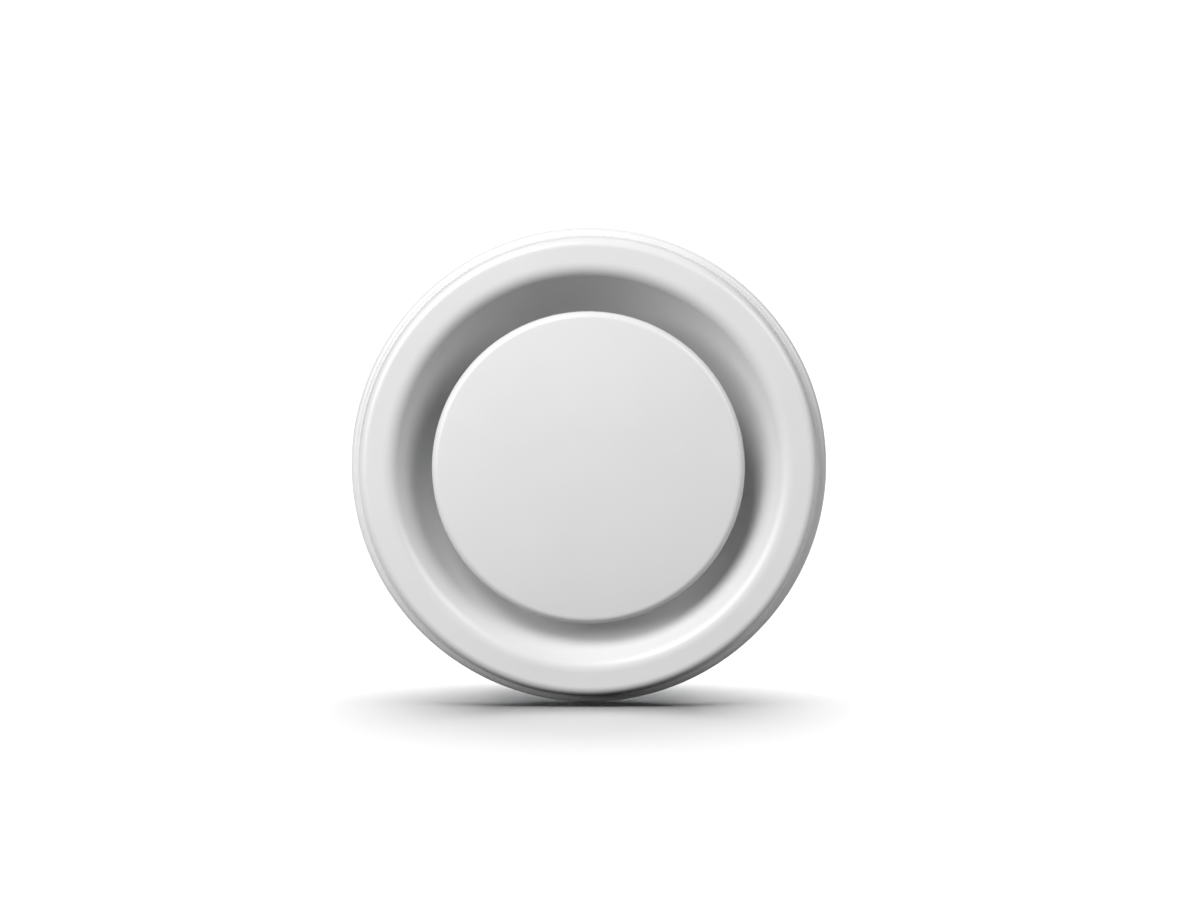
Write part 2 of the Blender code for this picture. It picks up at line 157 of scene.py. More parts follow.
def rounded(before, corner, after, fillet):
    """Points along the tangent arc at a corner, with a guard point beyond each end of it."""
    back = (before - corner).normalized()
    ahead = (after - corner).normalized()
    turn = math.pi - back.angle(ahead)
    run = fillet * math.tan(turn / 2)
    centre = corner + (back + ahead).normalized() * fillet / math.cos(turn / 2)
    first = corner + back * run - centre
    last = corner + ahead * run - centre
    start = math.atan2(first.y, first.x)
    sweep = (math.atan2(last.y, last.x) - start + math.pi) % FULL_TURN - math.pi
    steps = max(2, round(turn / (ARC_STEP if fillet > SMALL_FILLET else SMALL_ARC_STEP)))
    angles = [start + sweep * step / steps for step in range(steps + 1)]
    points = [centre + fillet * Vector((math.cos(angle), math.sin(angle))) for angle in angles]
    return [points[0] + back * ARC_GUARD, *points, points[-1] + ahead * ARC_GUARD]


def outline(corners):
    """Points along straight runs and arcs. A corner is (radius, height) or (radius, height, fillet)."""
    plain = [Vector(corner[:2]) for corner in corners]
    points = []
    for index, corner in enumerate(corners):
        if len(corner) == 3:
            following = plain[(index + 1) % len(plain)]
            points += rounded(plain[index - 1], plain[index], following, corner[2])
        else:
            points.append(plain[index])
    return points


def sheet_outline(path, sheet, rim):
    """Outline of a sheet whose face is this path and whose thickness lies on the path's right."""
    behind = []
    for index, point in enumerate(path):
        runs = []
        if index > 0:
            runs.append((point - path[index - 1]).normalized())
        if index < len(path) - 1:
            runs.append((path[index + 1] - point).normalized())
        rights = [Vector((run.y, -run.x)) for run in runs]
        right = sum(rights, Vector((0, 0))).normalized()
        behind.append(point + right * sheet / right.dot(rights[0]))
    behind.reverse()
    far = [(*path[-1], rim), (*behind[0], rim)]
    if path[0].x == 0:
        behind[-1].x = 0
        return outline([*path[:-1], *far, *behind[1:]])
    near = [(*behind[-1], rim), (*path[0], rim)]
    return outline([*path[1:-1], *far, *behind[1:-1], *near])


# ---------------------------------------------------------------- meshes


def finish_mesh(piece):
    """Smooth faces with crisp edges, all facing out."""
    shape = bmesh.new()
    shape.from_mesh(piece.data)
    bmesh.ops.remove_doubles(shape, verts=shape.verts, dist=MERGE)
    bmesh.ops.recalc_face_normals(shape, faces=shape.faces)
    shape.to_mesh(piece.data)
    shape.free()
    piece.data.shade_smooth()
    piece.data.set_sharp_from_angle(angle=SHARP_ANGLE)


def skin(name, sections, round_trip=True, looped=True):
    """A mesh through sections of as many points each. It closes on itself, or its ends are capped."""
    size, count = len(sections[0]), len(sections)
    faces = []
    for index in range(count if round_trip else count - 1):
        here, there = index * size, (index + 1) % count * size
        for spot in range(size if looped else size - 1):
            after = (spot + 1) % size
            faces.append((here + spot, here + after, there + after, there + spot))
    if not round_trip:
        faces.append(tuple(range(size)))
        faces.append(tuple(range((count - 1) * size, count * size)))
    mesh = bpy.data.meshes.new(name)
    mesh.from_pydata([point for section in sections for point in section], [], faces)
    piece = bpy.data.objects.new(name, mesh)
    bpy.context.scene.collection.objects.link(piece)
    finish_mesh(piece)
    return piece


def polar(radius, angle, height):
    return Vector((radius * math.cos(angle), radius * math.sin(angle), height))


def round_angles(steps):
    return [FULL_TURN * step / steps for step in range(steps)]


def lathe(name, points, steps, looped=True):
    """A piece turned about local Z from (radius, height) points, looped unless it meets the axis."""
    sections = [[polar(point.x, angle, point.y) for point in points] for angle in round_angles(steps)]
    return skin(name, sections, looped=looped)


def rod(start, end, radius, steps=RIVET_STEPS):
    """A round cutter between two points."""
    turn = (end - start).to_track_quat("Z", "Y")
    sections = [
        [centre + turn @ polar(radius, angle, 0) for angle in round_angles(steps)]
        for centre in (start, end)
    ]
    return skin("cutter", sections, round_trip=False)


def settle(piece):
    """Make the modifiers' result the piece's own mesh."""
    bpy.context.view_layer.update()
    evaluated = piece.evaluated_get(bpy.context.evaluated_depsgraph_get())
    mesh = bpy.data.meshes.new_from_object(evaluated)
    piece.modifiers.clear()
    piece.data = mesh
    finish_mesh(piece)


def carve(piece, *cutters):
    """Cut these shapes out of the piece, and remove them."""
    for cutter in cutters:
        boolean = piece.modifiers.new("carve", "BOOLEAN")
        boolean.solver = "EXACT"
        boolean.object = cutter
    settle(piece)
    for cutter in cutters:
        bpy.data.objects.remove(cutter)


def ease_edges(piece, width):
    """Break the sharp edges, as tumbling or pressing leaves them."""
    bevel = piece.modifiers.new("ease", "BEVEL")
    bevel.width = width
    bevel.segments = 2
    bevel.angle_limit = SHARP_ANGLE
    settle(piece)


def install(piece, material, node, matrix):
    """Put the piece in a CAD node's place, with its finish."""
    piece.matrix_world = matrix
    if not piece.data.materials:
        piece.data.materials.append(MATERIALS[material])
    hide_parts(node)
    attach(piece, frame["nodes"][node]["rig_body"])


def install_copies(piece, material, places):
    """The same piece in several CAD nodes' places, as {node: matrix}."""
    for number, (node, matrix) in enumerate(places.items(), start=1):
        copy = piece.copy()
        copy.name = f"{piece.name}_{number}"
        bpy.context.scene.collection.objects.link(copy)
        install(copy, material, node, matrix)
    bpy.data.objects.remove(piece)


# ---------------------------------------------------------------- materials


def feed(tree, node, inputs):
    """Set a node's inputs, each from a value or from another node's output."""
    for name, value in inputs.items():
        if isinstance(value, bpy.types.NodeSocket):
            tree.links.new(value, node.inputs[name])
        else:
            node.inputs[name].default_value = value
    return node


def add(tree, kind, inputs):
    return feed(tree, tree.nodes.new("ShaderNode" + kind), inputs)


def own_coordinates(tree, stretch=(1, 1, 1)):
    """The piece's own coordinates in metres, stretched along its axes."""
    coordinates = tree.nodes.new("ShaderNodeTexCoord").outputs["Object"]
    return add(tree, "Mapping", {"Vector": coordinates, "Scale": stretch}).outputs["Vector"]


def grain(tree, where, scale, detail=3.0):
    """Soft noise from 0 to 1, with this many blotches to the metre."""
    inputs = {"Vector": where, "Scale": scale, "Detail": detail}
    return add(tree, "TexNoise", inputs).outputs["Fac"]


def spread(tree, value, low, high):
    """Noise or cell values stretched over a range."""
    inputs = {"Value": value, "From Min": 0.25, "From Max": 0.75, "To Min": low, "To Max": high}
    return add(tree, "MapRange", inputs).outputs["Result"]


def blend_colours(tree, value, dark, light):
    ramp = tree.nodes.new("ShaderNodeValToRGB")
    ramp.color_ramp.elements[0].position = 0.25
    ramp.color_ramp.elements[0].color = (*dark, 1)
    ramp.color_ramp.elements[1].position = 0.75
    ramp.color_ramp.elements[1].color = (*light, 1)
    return feed(tree, ramp, {"Fac": value}).outputs["Color"]


def bump(tree, height, depth, normal=None):
    """A surface relief of this depth in metres."""
    inputs = {"Height": height, "Distance": depth, "Strength": 1.0}
    if normal:
        inputs["Normal"] = normal
    return add(tree, "Bump", inputs).outputs["Normal"]


def new_material(name):
    material = bpy.data.materials.new(name)
    material.use_nodes = True
    tree = material.node_tree
    return material, tree, tree.nodes["Principled BSDF"]


def powder_coat():
    """White satin coating with a faint orange peel."""
    material, tree, shader = new_material("powder_coat")
    where = own_coordinates(tree)
    cloud = grain(tree, where, 35)
    peel = grain(tree, where, 620, 1.5)
    speckle = grain(tree, where, 4200, 1.0)
    feed(tree, shader, {
        "Base Color": blend_colours(tree, cloud, (0.72, 0.72, 0.72), (0.75, 0.75, 0.75)),
        "Roughness": spread(tree, speckle, 0.30, 0.38),
        "Normal": bump(tree, peel, 0.000006),
        "IOR": 1.5,
    })
    return material


def galvanised():
    """Zinc-dipped sheet with its spangle and a dull, slightly stained skin."""
    material, tree, shader = new_material("galvanised")
    where = own_coordinates(tree)
    spangle = add(tree, "TexVoronoi", {"Vector": where, "Scale": 260.0}).outputs["Color"]
    cell = add(tree, "SeparateColor", {"Color": spangle}).outputs["Red"]
    stain = grain(tree, where, 60)
    fine = grain(tree, where, 1800)
    feed(tree, shader, {
        "Base Color": blend_colours(tree, cell, (0.52, 0.54, 0.56), (0.70, 0.71, 0.72)),
        "Metallic": 1.0,
        "Roughness": spread(tree, stain, 0.34, 0.52),
        "Normal": bump(tree, fine, 0.000008, bump(tree, cell, 0.000010)),
    })
    return material


def turning_marks(tree, pitch):
    """Fine rings round local Z, as a lathe tool leaves them."""
    where = own_coordinates(tree, (0.15, 0.15, 1))
    return grain(tree, where, 1 / pitch, 1.0)


def zinc():
    """Bright zinc plating on turned steel."""
    material, tree, shader = new_material("zinc")
    tint = grain(tree, own_coordinates(tree), 240)
    marks = turning_marks(tree, 0.00035)
    feed(tree, shader, {
        "Base Color": blend_colours(tree, tint, (0.62, 0.64, 0.66), (0.76, 0.76, 0.75)),
        "Metallic": 1.0,
        "Roughness": spread(tree, marks, 0.22, 0.36),
        "Normal": bump(tree, marks, 0.000004),
    })
    return material


def spring_steel():
    """Dark tempered strip, brushed along its length."""
    material, tree, shader = new_material("spring_steel")
    brushing = grain(tree, own_coordinates(tree, (0.04, 1, 0.04)), 5200, 2.0)
    temper = grain(tree, own_coordinates(tree), 90)
    feed(tree, shader, {
        "Base Color": blend_colours(tree, temper, (0.27, 0.28, 0.31), (0.38, 0.37, 0.37)),
        "Metallic": 1.0,
        "Roughness": spread(tree, brushing, 0.26, 0.42),
        "Normal": bump(tree, brushing, 0.000003),
    })
    return material


def foam():
    """Dark closed-cell foam strip, with its cut cells open on the surface."""
    material, tree, shader = new_material("foam")
    where = own_coordinates(tree)
    cells = add(tree, "TexVoronoi", {"Vector": where, "Scale": 1500.0}).outputs["Distance"]
    blotch = grain(tree, where, 300)
    feed(tree, shader, {
        "Base Color": blend_colours(tree, cells, (0.045, 0.045, 0.048), (0.16, 0.16, 0.165)),
        "Roughness": spread(tree, blotch, 0.88, 1.0),
        "Normal": bump(tree, cells, 0.00018),
        "Specular IOR Level": 0.2,
    })
    return material


def epdm():
    """Black moulded rubber with a greyish bloom."""
    material, tree, shader = new_material("epdm")
    where = own_coordinates(tree)
    bloom = grain(tree, where, 130, 5.0)
    fine = grain(tree, where, 2600)
    feed(tree, shader, {
        "Base Color": blend_colours(tree, bloom, (0.018, 0.018, 0.018), (0.050, 0.050, 0.052)),
        "Roughness": spread(tree, bloom, 0.55, 0.78),
        "Normal": bump(tree, fine, 0.000010),
    })
    return material


def floor_paint():
    """Plain near-white studio floor."""
    material, tree, shader = new_material("floor_paint")
    cloud = grain(tree, own_coordinates(tree), 1.5)
    feed(tree, shader, {
        "Base Color": blend_colours(tree, cloud, (0.96, 0.96, 0.96), (0.98, 0.98, 0.98)),
        "Roughness": 0.9,
        "Specular IOR Level": 0.1,
    })
    return material


MATERIALS = {
    make.__name__: make()
    for make in (powder_coat, galvanised, zinc, spring_steel, foam, epdm, floor_paint)
}


# ---------------------------------------------------------------- threads


def thread(core, crest, pitch, low, high, turn):
    """Points up a right-handed thread on one side of its rod, which run out smoothly at both ends."""
    steepness, fullness = 3.0, 1.7
    rows = round((high - low) / pitch * THREAD_ROWS)
    points = []
    for row in range(rows + 1):
        height = low + (high - low) * row / rows
        phase = (height / pitch - turn) % 1
        ridge = min(1, max(0, fullness - steepness * abs(2 * phase - 1)))
        run_out = min(1, (height - low) / pitch, (high - height) / pitch)
        points.append(Vector((core + (crest - core) * ridge * run_out, height)))
    return points


def threaded_rod(name, above, below, core, crest, pitch, steps):
    """A solid rod: an outline from the axis down to the thread, the thread, and an outline to the axis."""
    sections = []
    for step in range(steps):
        side = thread(core, crest, pitch, below[0].y, above[-1].y, step / steps)
        points = above[:-1] + side[::-1] + below[1:]
        sections.append([polar(point.x, FULL_TURN * step / steps, point.y) for point in points])
    return skin(name, sections, looped=False)


# ---------------------------------------------------------------- the valve's body


def make_ring():
    """Pressed face ring: lip, groove, face, bell mouth and throat in one painted sheet."""
    lip, front, back = reach("valve_ring")
    mouth, face, groove = lip - 0.0148, lip - 0.0039, lip - 0.0026
    groove_height, lip_back, cone_slope = 0.0030, 0.0003, math.radians(52)
    cone_drop = (mouth - THROAT_RADIUS) * math.tan(cone_slope)
    path = outline([
        (THROAT_RADIUS, back),
        (THROAT_RADIUS, front - cone_drop, 0.0050),
        (mouth, front, 0.0060),
        (face, front, 0.0032),
        (groove, groove_height, 0.0005),
        (lip, groove_height, 0.0019),
        (lip, lip_back),
    ])
    ring = lathe("ring_shell", sheet_outline(path, PAINTED_SHEET, PAINTED_RIM), RING_STEPS)
    carve(ring, *rivet_drills(BRIDGE_RIVETS + CLIP_RIVETS))
    install(ring, "powder_coat", "valve_ring", into_room())


def rivet_drills(nodes, turn=0.0):
    """Rods through the throat at these rivets, as seen from a piece turned round by this angle."""
    inside, outside = THROAT_RADIUS - 0.003, THROAT_RADIUS + 0.006
    drills = []
    for node in nodes:
        angle, height = bearing(node)
        ends = [polar(radius, angle - turn, height) for radius in (inside, outside)]
        drills.append(rod(*ends, RIVET_HOLE_RADIUS))
    return drills


def make_gasket():
    """Foam strip laid round the back of the face, with its ends butted at the bottom."""
    outer, front, back = reach("face_gasket")
    inner, shoulder = outer - 0.0040, 0.0013
    ripple_depth, ripple_scale = 0.00006, 18
    section = outline([
        (inner, front, 0.0006),
        (outer - shoulder, front, 0.0007),
        (outer, front - shoulder, 0.0007),
        (outer, back, 0.0006),
        (inner, back, 0.0006),
    ])
    joint = math.radians(0.12)
    start = -math.pi / 2 + joint
    sections = []
    for step in range(RING_STEPS + 1):
        angle = start + (FULL_TURN - 2 * joint) * step / RING_STEPS
        ripple = ripple_depth * noise.noise(polar(ripple_scale, angle, 0))
        sections.append([polar(point.x - abs(ripple), angle, point.y) for point in section])
    gasket = skin("gasket_strip", sections, round_trip=False)
    install(gasket, "foam", "face_gasket", into_room())


def make_bridge():
    """Strip across the throat, with legs that lie on the throat's outside."""
    low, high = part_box("bridge")
    leg, front, back = high.x, -low.y, -high.y
    bend, hub_radius, steps = 0.0028, 0.0063, 16
    path = outline([(leg, front), (leg, back, bend), (-leg, back, bend), (-leg, front)])
    section = sheet_outline(path, BRIDGE_SHEET, CUT_RIM)
    sections = []
    for step in range(steps + 1):
        across = low.z + (high.z - low.z) * step / steps
        sag = leg - math.sqrt(leg**2 - across**2)
        sections.append([
            Vector((point.x * (1 - sag * abs(point.x) / leg**2), across, point.y))
            for point in section
        ])
    bridge = skin("bridge_strip", sections, round_trip=False)
    hub = rod(Vector((0, 0, back - 0.002)), Vector((0, 0, back + 0.004)), hub_radius, SMALL_STEPS)
    carve(bridge, hub, *rivet_drills(BRIDGE_RIVETS))
    install(bridge, "galvanised", "bridge", into_room())


def make_bush():
    """Flanged bush, swaged over the back of the bridge."""
    flange, front, back = reach("spindle_bush")
    bore, barrel, flare = 0.0041, 0.0060, 0.0072
    under_flange = front - 0.0020
    flare_front = back + 0.0007
    section = outline([
        (bore, front - 0.0005),
        (bore + 0.0005, front),
        (flange, front, 0.0004),
        (flange, under_flange, 0.0002),
        (barrel, under_flange),
        (barrel, flare_front),
        (flare, flare_front, 0.0002),
        (flare - 0.0004, back, 0.0003),
        (bore + 0.0004, back, 0.0002),
        (bore, back + 0.0006),
    ])
    install(lathe("bush", section, SMALL_STEPS), "zinc", "spindle_bush", into_room())


def rivet_outline(grip):
    """A set blind rivet: domed head with the snapped mandrel in its hole, shank, and upset bulb."""
    bulb = grip + GAP
    lift = -0.0004
    return outline([
        (0, bulb + 0.0018),
        (0.0012, bulb + 0.0018, 0.0004),
        (0.0017, bulb + 0.0013, 0.0002),
        (0.0025, bulb + 0.0009, 0.0004),
        (0.0023, bulb, 0.0003),
        (0.0016, bulb),
        (0.0016, lift),
        (0.0029, lift, 0.0001),
        (0.0027, lift - 0.0004, 0.0003),
        (0.0021, lift - 0.0009, 0.0005),
        (0.0011, lift - 0.0011, 0.0002),
        (0.00095, lift - 0.0004),
        (0.00080, lift - 0.0004),
        (0.00070, lift - 0.0007, 0.0001),
        (0, lift - 0.00065),
    ])


def make_rivets(name, nodes, grip):
    rivet = lathe(name, rivet_outline(grip), RIVET_STEPS, looped=False)
    places = {}
    for node in nodes:
        angle, height = bearing(node)
        places[node] = outwards(angle, THROAT_RADIUS, height)
    install_copies(rivet, "zinc", places)


def make_spring_clips():
    """Bowed leaf springs, with rounded free ends, that grip the mounting frame's collar."""
    first, _ = bearing("spring_clip_1")
    low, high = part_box("spring_clip_1")
    width = high.x - low.x
    seat = THROAT_RADIUS + PAINTED_SHEET + GAP
    bow, free_end, corner, steps = 0.0065, 0.0042, 0.0025, 16
    path = outline([
        (seat + free_end, -0.0330),
        (seat + bow, -0.0270, 0.0020),
        (seat, -0.0185, 0.0020),
        (seat, -low.y),
    ])
    section = sheet_outline(path, CLIP_SHEET, CUT_RIM)
    tip = min(point.y for point in path)
    sections = []
    for step in range(steps + 1):
        across = 2 * step / steps - 1
        strip = []
        for point in section:
            short = max(0, corner - (point.y - tip)) if point.y > tip else corner
            half = width / 2 - corner + math.sqrt(corner**2 - short**2)
            side = across * half
            strip.append(Vector((point.x, side, point.y)))
        sections.append(strip)
    clip = skin("clip_leaf", sections, round_trip=False)
    carve(clip, *rivet_drills(CLIP_RIVETS[:1], turn=first))
    ease_edges(clip, 0.00012)
    places = {node: into_room(bearing(node)[0]) for node in SPRING_CLIPS}
    install_copies(clip, "spring_steel", places)


# ---------------------------------------------------------------- disc and spindle


def make_disc():
    """Crowned disc pressed from painted sheet, with a rounded edge turned back."""
    radius, front, back = reach("valve_disc")
    crown, rounding, steps = 0.0030, 0.0026, 24
    dome_share = 1 - 1.1 * rounding / radius
    dome = []
    for step in range(steps + 1):
        share = dome_share * step / steps
        dome.append((radius * share, front - crown * share**2))
    path = outline([*dome, (radius, front - crown, rounding), (radius, back)])
    disc = lathe("disc_shell", sheet_outline(path, PAINTED_SHEET, PAINTED_RIM), RING_STEPS, looped=False)
    install(disc, "powder_coat", "valve_disc", into_room())


def make_boss():
    """Pressed hat that holds the spindle's head, spot-welded to the disc's back."""
    brim, front, back = reach("disc_boss")
    sheet, wall, bore, brim_steps = 0.0010, 0.0110, 0.0043, 20
    weld_circle, weld_radius, weld_depth = 0.0148, 0.0012, 0.00022
    brim_back, middle = front - sheet, front - sheet / 2
    flat = brim - wall - sheet
    plain = [(brim - flat * step / brim_steps, brim_back) for step in range(brim_steps + 1)]
    path = outline([*plain, (wall, brim_back, 0.0008), (wall, back, 0.0016), (bore, back)])
    section = sheet_outline(path, sheet, CUT_RIM)
    sections = []
    for angle in round_angles(2 * SMALL_STEPS):
        ring = []
        for point in section:
            spot = polar(point.x, angle, 0)
            nearest = math.radians(90) * (round(math.degrees(angle) / 90 - 0.5) + 0.5)
            apart = (spot - polar(weld_circle, nearest, 0)).length / weld_radius
            dent = weld_depth * math.exp(-(apart**4)) if point.y < middle else 0
            ring.append(polar(point.x, angle, point.y + dent))
        sections.append(ring)
    install(skin("boss_pressing", sections), "galvanised", "disc_boss", into_room())


def make_spindle():
    """Threaded spindle with a flat head, and a groove near its end for the stop clip."""
    head, front, end = reach("spindle")
    low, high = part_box("stop_clip")
    rod_radius, core, pitch, groove = 0.0040, 0.0034, 0.00125, 0.0032
    head_back = front - 0.0048
    groove_front, groove_back = -low.y + 0.00025, -high.y - 0.00025
    above = outline([
        (0, front),
        (head, front, 0.0004),
        (head, head_back, 0.0003),
        (rod_radius, head_back, 0.0003),
        (rod_radius, head_back - 0.0030),
        (core, head_back - 0.0036),
    ])
    below = outline([
        (core, groove_front + 0.0004),
        (rod_radius - 0.0001, groove_front + 0.0003),
        (rod_radius - 0.0001, groove_front, 0.0001),
        (groove, groove_front),
        (groove, groove_back),
        (rod_radius - 0.0001, groove_back, 0.0001),
        (rod_radius - 0.0001, end + 0.0008, 0.0002),
        (groove, end, 0.0002),
        (0, end),
    ])
    spindle = threaded_rod("spindle_rod", above, below, core, rod_radius, pitch, SMALL_STEPS)
    install(spindle, "zinc", "spindle", into_room())


def make_stop_clip():
    """E-shaped retaining clip: three prongs grip the groove, with its mouth at the bottom."""
    outer, front, back = reach("stop_clip")
    prong, relief, half_mouth, steps = 0.00345, 0.0015, 0.0033, 120
    steepness, prong_width = 2.4, 0.9
    sections = []
    for step in range(steps + 1):
        share = step / steps
        bay = min(1, max(0, steepness * abs(math.sin(FULL_TURN * share)) - prong_width))
        inner = prong + relief * bay
        section = []
        for radius, height in ((inner, front), (outer, front), (outer, back), (inner, back)):
            mouth = math.asin(half_mouth / radius)
            angle = -math.pi / 2 + mouth + share * (FULL_TURN - 2 * mouth)
            section.append(polar(radius, angle, height))
        sections.append(section)
    clip = skin("stop_clip_plate", sections, round_trip=False)
    ease_edges(clip, 0.00012)
    install(clip, "spring_steel", "stop_clip", into_room())


# ---------------------------------------------------------------- the spindle's lock


def make_lock_washer():
    """Toothed lock washer, each tooth twisted so that its edges bite."""
    outer, front, back = reach("lock_washer")
    bore, root, sheet, teeth, tooth_steps = 0.0043, 0.0060, 0.00045, 12, 16
    steepness, fullness, twist_span = 10, 3.4, 0.3
    middle = (front + back) / 2
    twist = (front - back - sheet) / 2
    sections = []
    for step, angle in enumerate(round_angles(teeth * tooth_steps)):
        phase = (step / tooth_steps) % 1
        tooth = min(1, max(0, fullness - steepness * abs(phase - 0.5)))
        edge = root + (outer - root) * tooth
        tilt = twist * max(-1, min(1, (phase - 0.5) / twist_span)) * tooth
        section = [
            (bore, middle - sheet / 2),
            (root, middle - sheet / 2),
            (edge, middle - sheet / 2 + tilt),
            (edge, middle + sheet / 2 + tilt),
            (root, middle + sheet / 2),
            (bore, middle + sheet / 2),
        ]
        sections.append([polar(radius, angle, height) for radius, height in section])
    washer = skin("lock_washer_plate", sections)
    install(washer, "spring_steel", "lock_washer", into_room())


def make_lock_nut():
    """Hexagon nut, chamfered on both faces and in its bore."""
    low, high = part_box("lock_nut")
    flat, front, back = high.x, -low.y, -high.y
    bore, lead_in, face_share = 0.0043, 0.0006, 0.95
    sixth, chamfer_slope = math.radians(60), math.radians(30)
    face = flat * face_share
    sections = []
    for angle in round_angles(SMALL_STEPS):
        edge = flat / math.cos((angle + sixth / 2) % sixth - sixth / 2)
        chamfer = (edge - face) * math.tan(chamfer_slope)
        section = [
            (bore, back + lead_in),
            (bore, front - lead_in),
            (bore + lead_in, front),
            (face, front),
            (edge, front - chamfer),
            (edge, back + chamfer),
            (face, back),
            (bore + lead_in, back),
        ]
        sections.append([polar(radius, angle, height) for radius, height in section])
    nut = skin("lock_nut_hexagon", sections)
    ease_edges(nut, 0.00010)
    install(nut, "zinc", "lock_nut", into_room())


# ---------------------------------------------------------------- the mounting frame


def make_mounting_frame():
    """Flanged collar that is screwed to the wall, and that the spring clips grip."""
    flange, front, back = reach("mounting_frame")
    inside, bend, hole_radius = 0.0612, 0.0024, 0.0023
    path = outline([(inside, back), (inside, front, bend), (flange, front)])
    collar = lathe("frame_collar", sheet_outline(path, FRAME_SHEET, CUT_RIM), RING_STEPS)
    drills = []
    for node in FRAME_SCREWS:
        centre = screw_place(node).translation
        ends = [Vector((centre.x, centre.z, height)) for height in (-0.003, 0.004)]
        drills.append(rod(*ends, hole_radius))
    carve(collar, *drills)
    install(collar, "galvanised", "mounting_frame", into_room())


def screw_place(node):
    low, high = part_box(node)
    middle = (low + high) / 2
    return Matrix.Translation((middle.x, 0, middle.z)) @ into_room()


def make_frame_screws():
    """Pan-head screws with a cross recess and a thread to the point."""
    low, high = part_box("frame_screw_1")
    head, top, tip = (high.x - low.x) / 2, -low.y, -high.y
    crest, core, pitch = 0.0020, 0.0014, 0.0018
    under_head = top - 0.0020
    above = outline([
        (0, top),
        (0.5 * head, top - 0.0001, 0.0010),
        (0.90 * head, top - 0.0008, 0.0008),
        (head, under_head, 0.0002),
        (crest, under_head, 0.0002),
        (crest, under_head - 0.0020),
        (core, under_head - 0.0024),
    ])
    below = outline([(core, tip + 0.0035), (0.0003, tip, 0.0001), (0, tip)])
    screw = threaded_rod("pan_screw", above, below, core, crest, pitch, RIVET_STEPS)
    carve(screw, recess_wedge(top, 0), recess_wedge(top, math.pi / 2))
    install_copies(screw, "zinc", {node: screw_place(node) for node in FRAME_SCREWS})


def recess_wedge(top, turn):
    """One arm of the cross recess, which narrows towards its bottom."""
    length, width, depth, narrowing, clearance = 0.0036, 0.0007, 0.0016, 0.45, 0.0002
    shape = bmesh.new()
    bmesh.ops.create_cube(shape, size=1, matrix=Matrix.Diagonal((length, width, depth, 1)))
    for vertex in shape.verts:
        if vertex.co.z < 0:
            vertex.co.xy *= narrowing
    middle = top - depth / 2 + clearance
    shape.transform(Matrix.Translation((0, 0, middle)) @ Matrix.Rotation(turn, 4, "Z"))
    mesh = bpy.data.meshes.new("recess")
    shape.to_mesh(mesh)
    shape.free()
    cutter = bpy.data.objects.new("recess", mesh)
    bpy.context.scene.collection.objects.link(cutter)
    return cutter


def make_duct_seal():
    """Rubber band with two lips that press on the inside of the duct."""
    tip, front, back = reach("duct_seal")
    inner = 0.0623
    band, pitch = inner + 0.0007, 0.0032
    section = [(inner, front, 0.0001), (band, front, 0.0003)]
    for lip in range(2):
        root = front - 0.0018 - lip * pitch
        section += [
            (band, root, 0.0002),
            (tip - 0.0001, root + 0.0011, 0.00015),
            (tip, root + 0.0007, 0.00015),
            (band, root - 0.0012, 0.0002),
        ]
    section += [(band, back, 0.0003), (inner, back, 0.0001)]
    seal = lathe("seal_band", outline(section), RING_STEPS)
    install(seal, "epdm", "duct_seal", into_room())


# ---------------------------------------------------------------- floor, lights and camera


def make_floor():
    """A wide plain floor under the valve's lip, which throws no diffuse light back up at it."""
    half, drop = 6.0, 0.0001
    level = CAD_BOX[0].z - drop
    shape = bmesh.new()
    bmesh.ops.create_grid(shape, x_segments=24, y_segments=24, size=half)
    mesh = bpy.data.meshes.new("floor")
    shape.to_mesh(mesh)
    shape.free()
    mesh.materials.append(MATERIALS["floor_paint"])
    floor = bpy.data.objects.new("floor", mesh)
    floor.location.z = level
    floor.visible_diffuse = False
    bpy.context.scene.collection.objects.link(floor)
    return floor


def aim(obj, target):
    obj.rotation_mode = "QUATERNION"
    obj.rotation_quaternion = (target - obj.location).to_track_quat("-Z", "Y")


def direction(azimuth, elevation):
    """Unit vector from the valve: azimuth 0 is straight out into the room and 90 to the right."""
    azimuth, elevation = math.radians(azimuth), math.radians(elevation)
    flat = math.cos(elevation)
    return Vector((math.sin(azimuth) * flat, -math.cos(azimuth) * flat, math.sin(elevation)))


def lit_group(name, floor, state):
    """What a lamp lights: the floor alone, or everything but the floor."""
    group = bpy.data.collections.new(name)
    group.objects.link(floor)
    group.collection_objects[0].light_linking.link_state = state
    return group


def hang(name, lamp, lit, azimuth, elevation):
    """Put a lamp at its distance from the valve, facing it, unseen by the camera."""
    holder = bpy.data.objects.new(name, lamp)
    holder.light_linking.receiver_collection = lit
    holder.visible_camera = False
    holder.location = LAMP_DISTANCE * direction(azimuth, elevation)
    bpy.context.scene.collection.objects.link(holder)
    aim(holder, Vector((0, 0, 0)))


def softbox(name, lit, azimuth, elevation, spread_angle, strength):
    """A round soft lamp near the valve, which looks this many degrees wide from it."""
    lamp = bpy.data.lights.new(name, "AREA")
    lamp.shape = "DISK"
    lamp.size = 2 * LAMP_DISTANCE * math.tan(math.radians(spread_angle) / 2)
    lamp.energy = strength * math.pi * LAMP_DISTANCE**2
    hang(name, lamp, lit, azimuth, elevation)


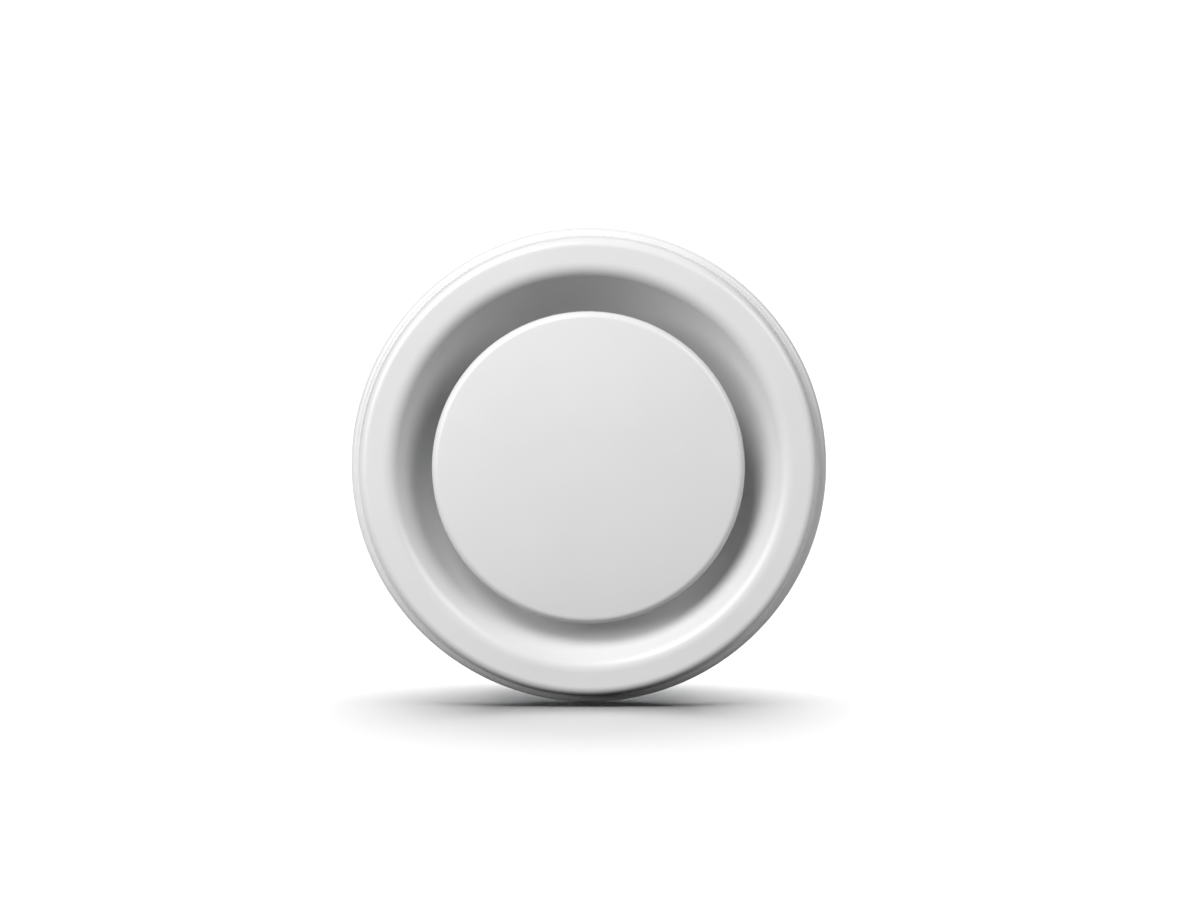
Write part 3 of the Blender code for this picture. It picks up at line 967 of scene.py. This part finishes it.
def sky(name, lit, azimuth, elevation, spread_angle, strength):
    """A soft lamp so far away that its light is the same all over the floor."""
    lamp = bpy.data.lights.new(name, "SUN")
    lamp.angle = math.radians(spread_angle)
    lamp.energy = strength
    hang(name, lamp, lit, azimuth, elevation)


def make_world(fill, backdrop):
    """Even fill light, with a plain white backdrop that only the camera sees."""
    world = bpy.data.worlds.new("studio")
    world.use_nodes = True
    tree = world.node_tree
    seen = tree.nodes.new("ShaderNodeLightPath").outputs["Is Camera Ray"]
    strength = add(tree, "MapRange", {"Value": seen, "To Min": fill, "To Max": backdrop})
    background = tree.nodes["Background"]
    feed(tree, background, {"Color": (1, 1, 1, 1), "Strength": strength.outputs["Result"]})
    bpy.context.scene.world = world


def make_lights(floor):
    """Soft lamps in front of the valve and behind light it alone, and a wide one the floor alone."""
    make_world(0.02, 1.2)
    valve_alone = lit_group("valve_alone", floor, "EXCLUDE")
    softbox("key", valve_alone, -28, 42, 26, 1.95)
    softbox("left", valve_alone, -48, 20, 35, 1.85)
    softbox("right", valve_alone, 50, 28, 35, 1.40)
    softbox("behind", valve_alone, 155, 52, 50, 0.80)
    floor_alone = lit_group("floor_alone", floor, "INCLUDE")
    sky("floor_wash", floor_alone, 180, 68, 80, 4.2)


def make_camera():
    scene = bpy.context.scene
    camera = bpy.data.objects.new("camera", bpy.data.cameras.new("camera"))
    camera.data.sensor_width = CAMERA_SENSOR
    camera.data.lens = CAMERA_SENSOR * CAMERA_DISTANCE / VIEW_WIDTH
    camera.location = CAMERA_DISTANCE * direction(CAMERA_AZIMUTH, CAMERA_ELEVATION)
    scene.collection.objects.link(camera)
    aim(camera, AIM)
    scene.camera = camera
    scene.view_settings.view_transform = "Standard"


def main():
    make_camera()
    make_lights(make_floor())

    make_ring()
    make_gasket()
    make_bridge()
    make_bush()
    sheets = PAINTED_SHEET + GAP
    make_rivets("bridge_rivet_fine", BRIDGE_RIVETS, sheets + BRIDGE_SHEET)
    make_rivets("clip_rivet_fine", CLIP_RIVETS, sheets + CLIP_SHEET)
    make_spring_clips()

    make_disc()
    make_boss()
    make_spindle()
    make_stop_clip()
    make_lock_washer()
    make_lock_nut()

    make_mounting_frame()
    make_frame_screws()
    make_duct_seal()


main()
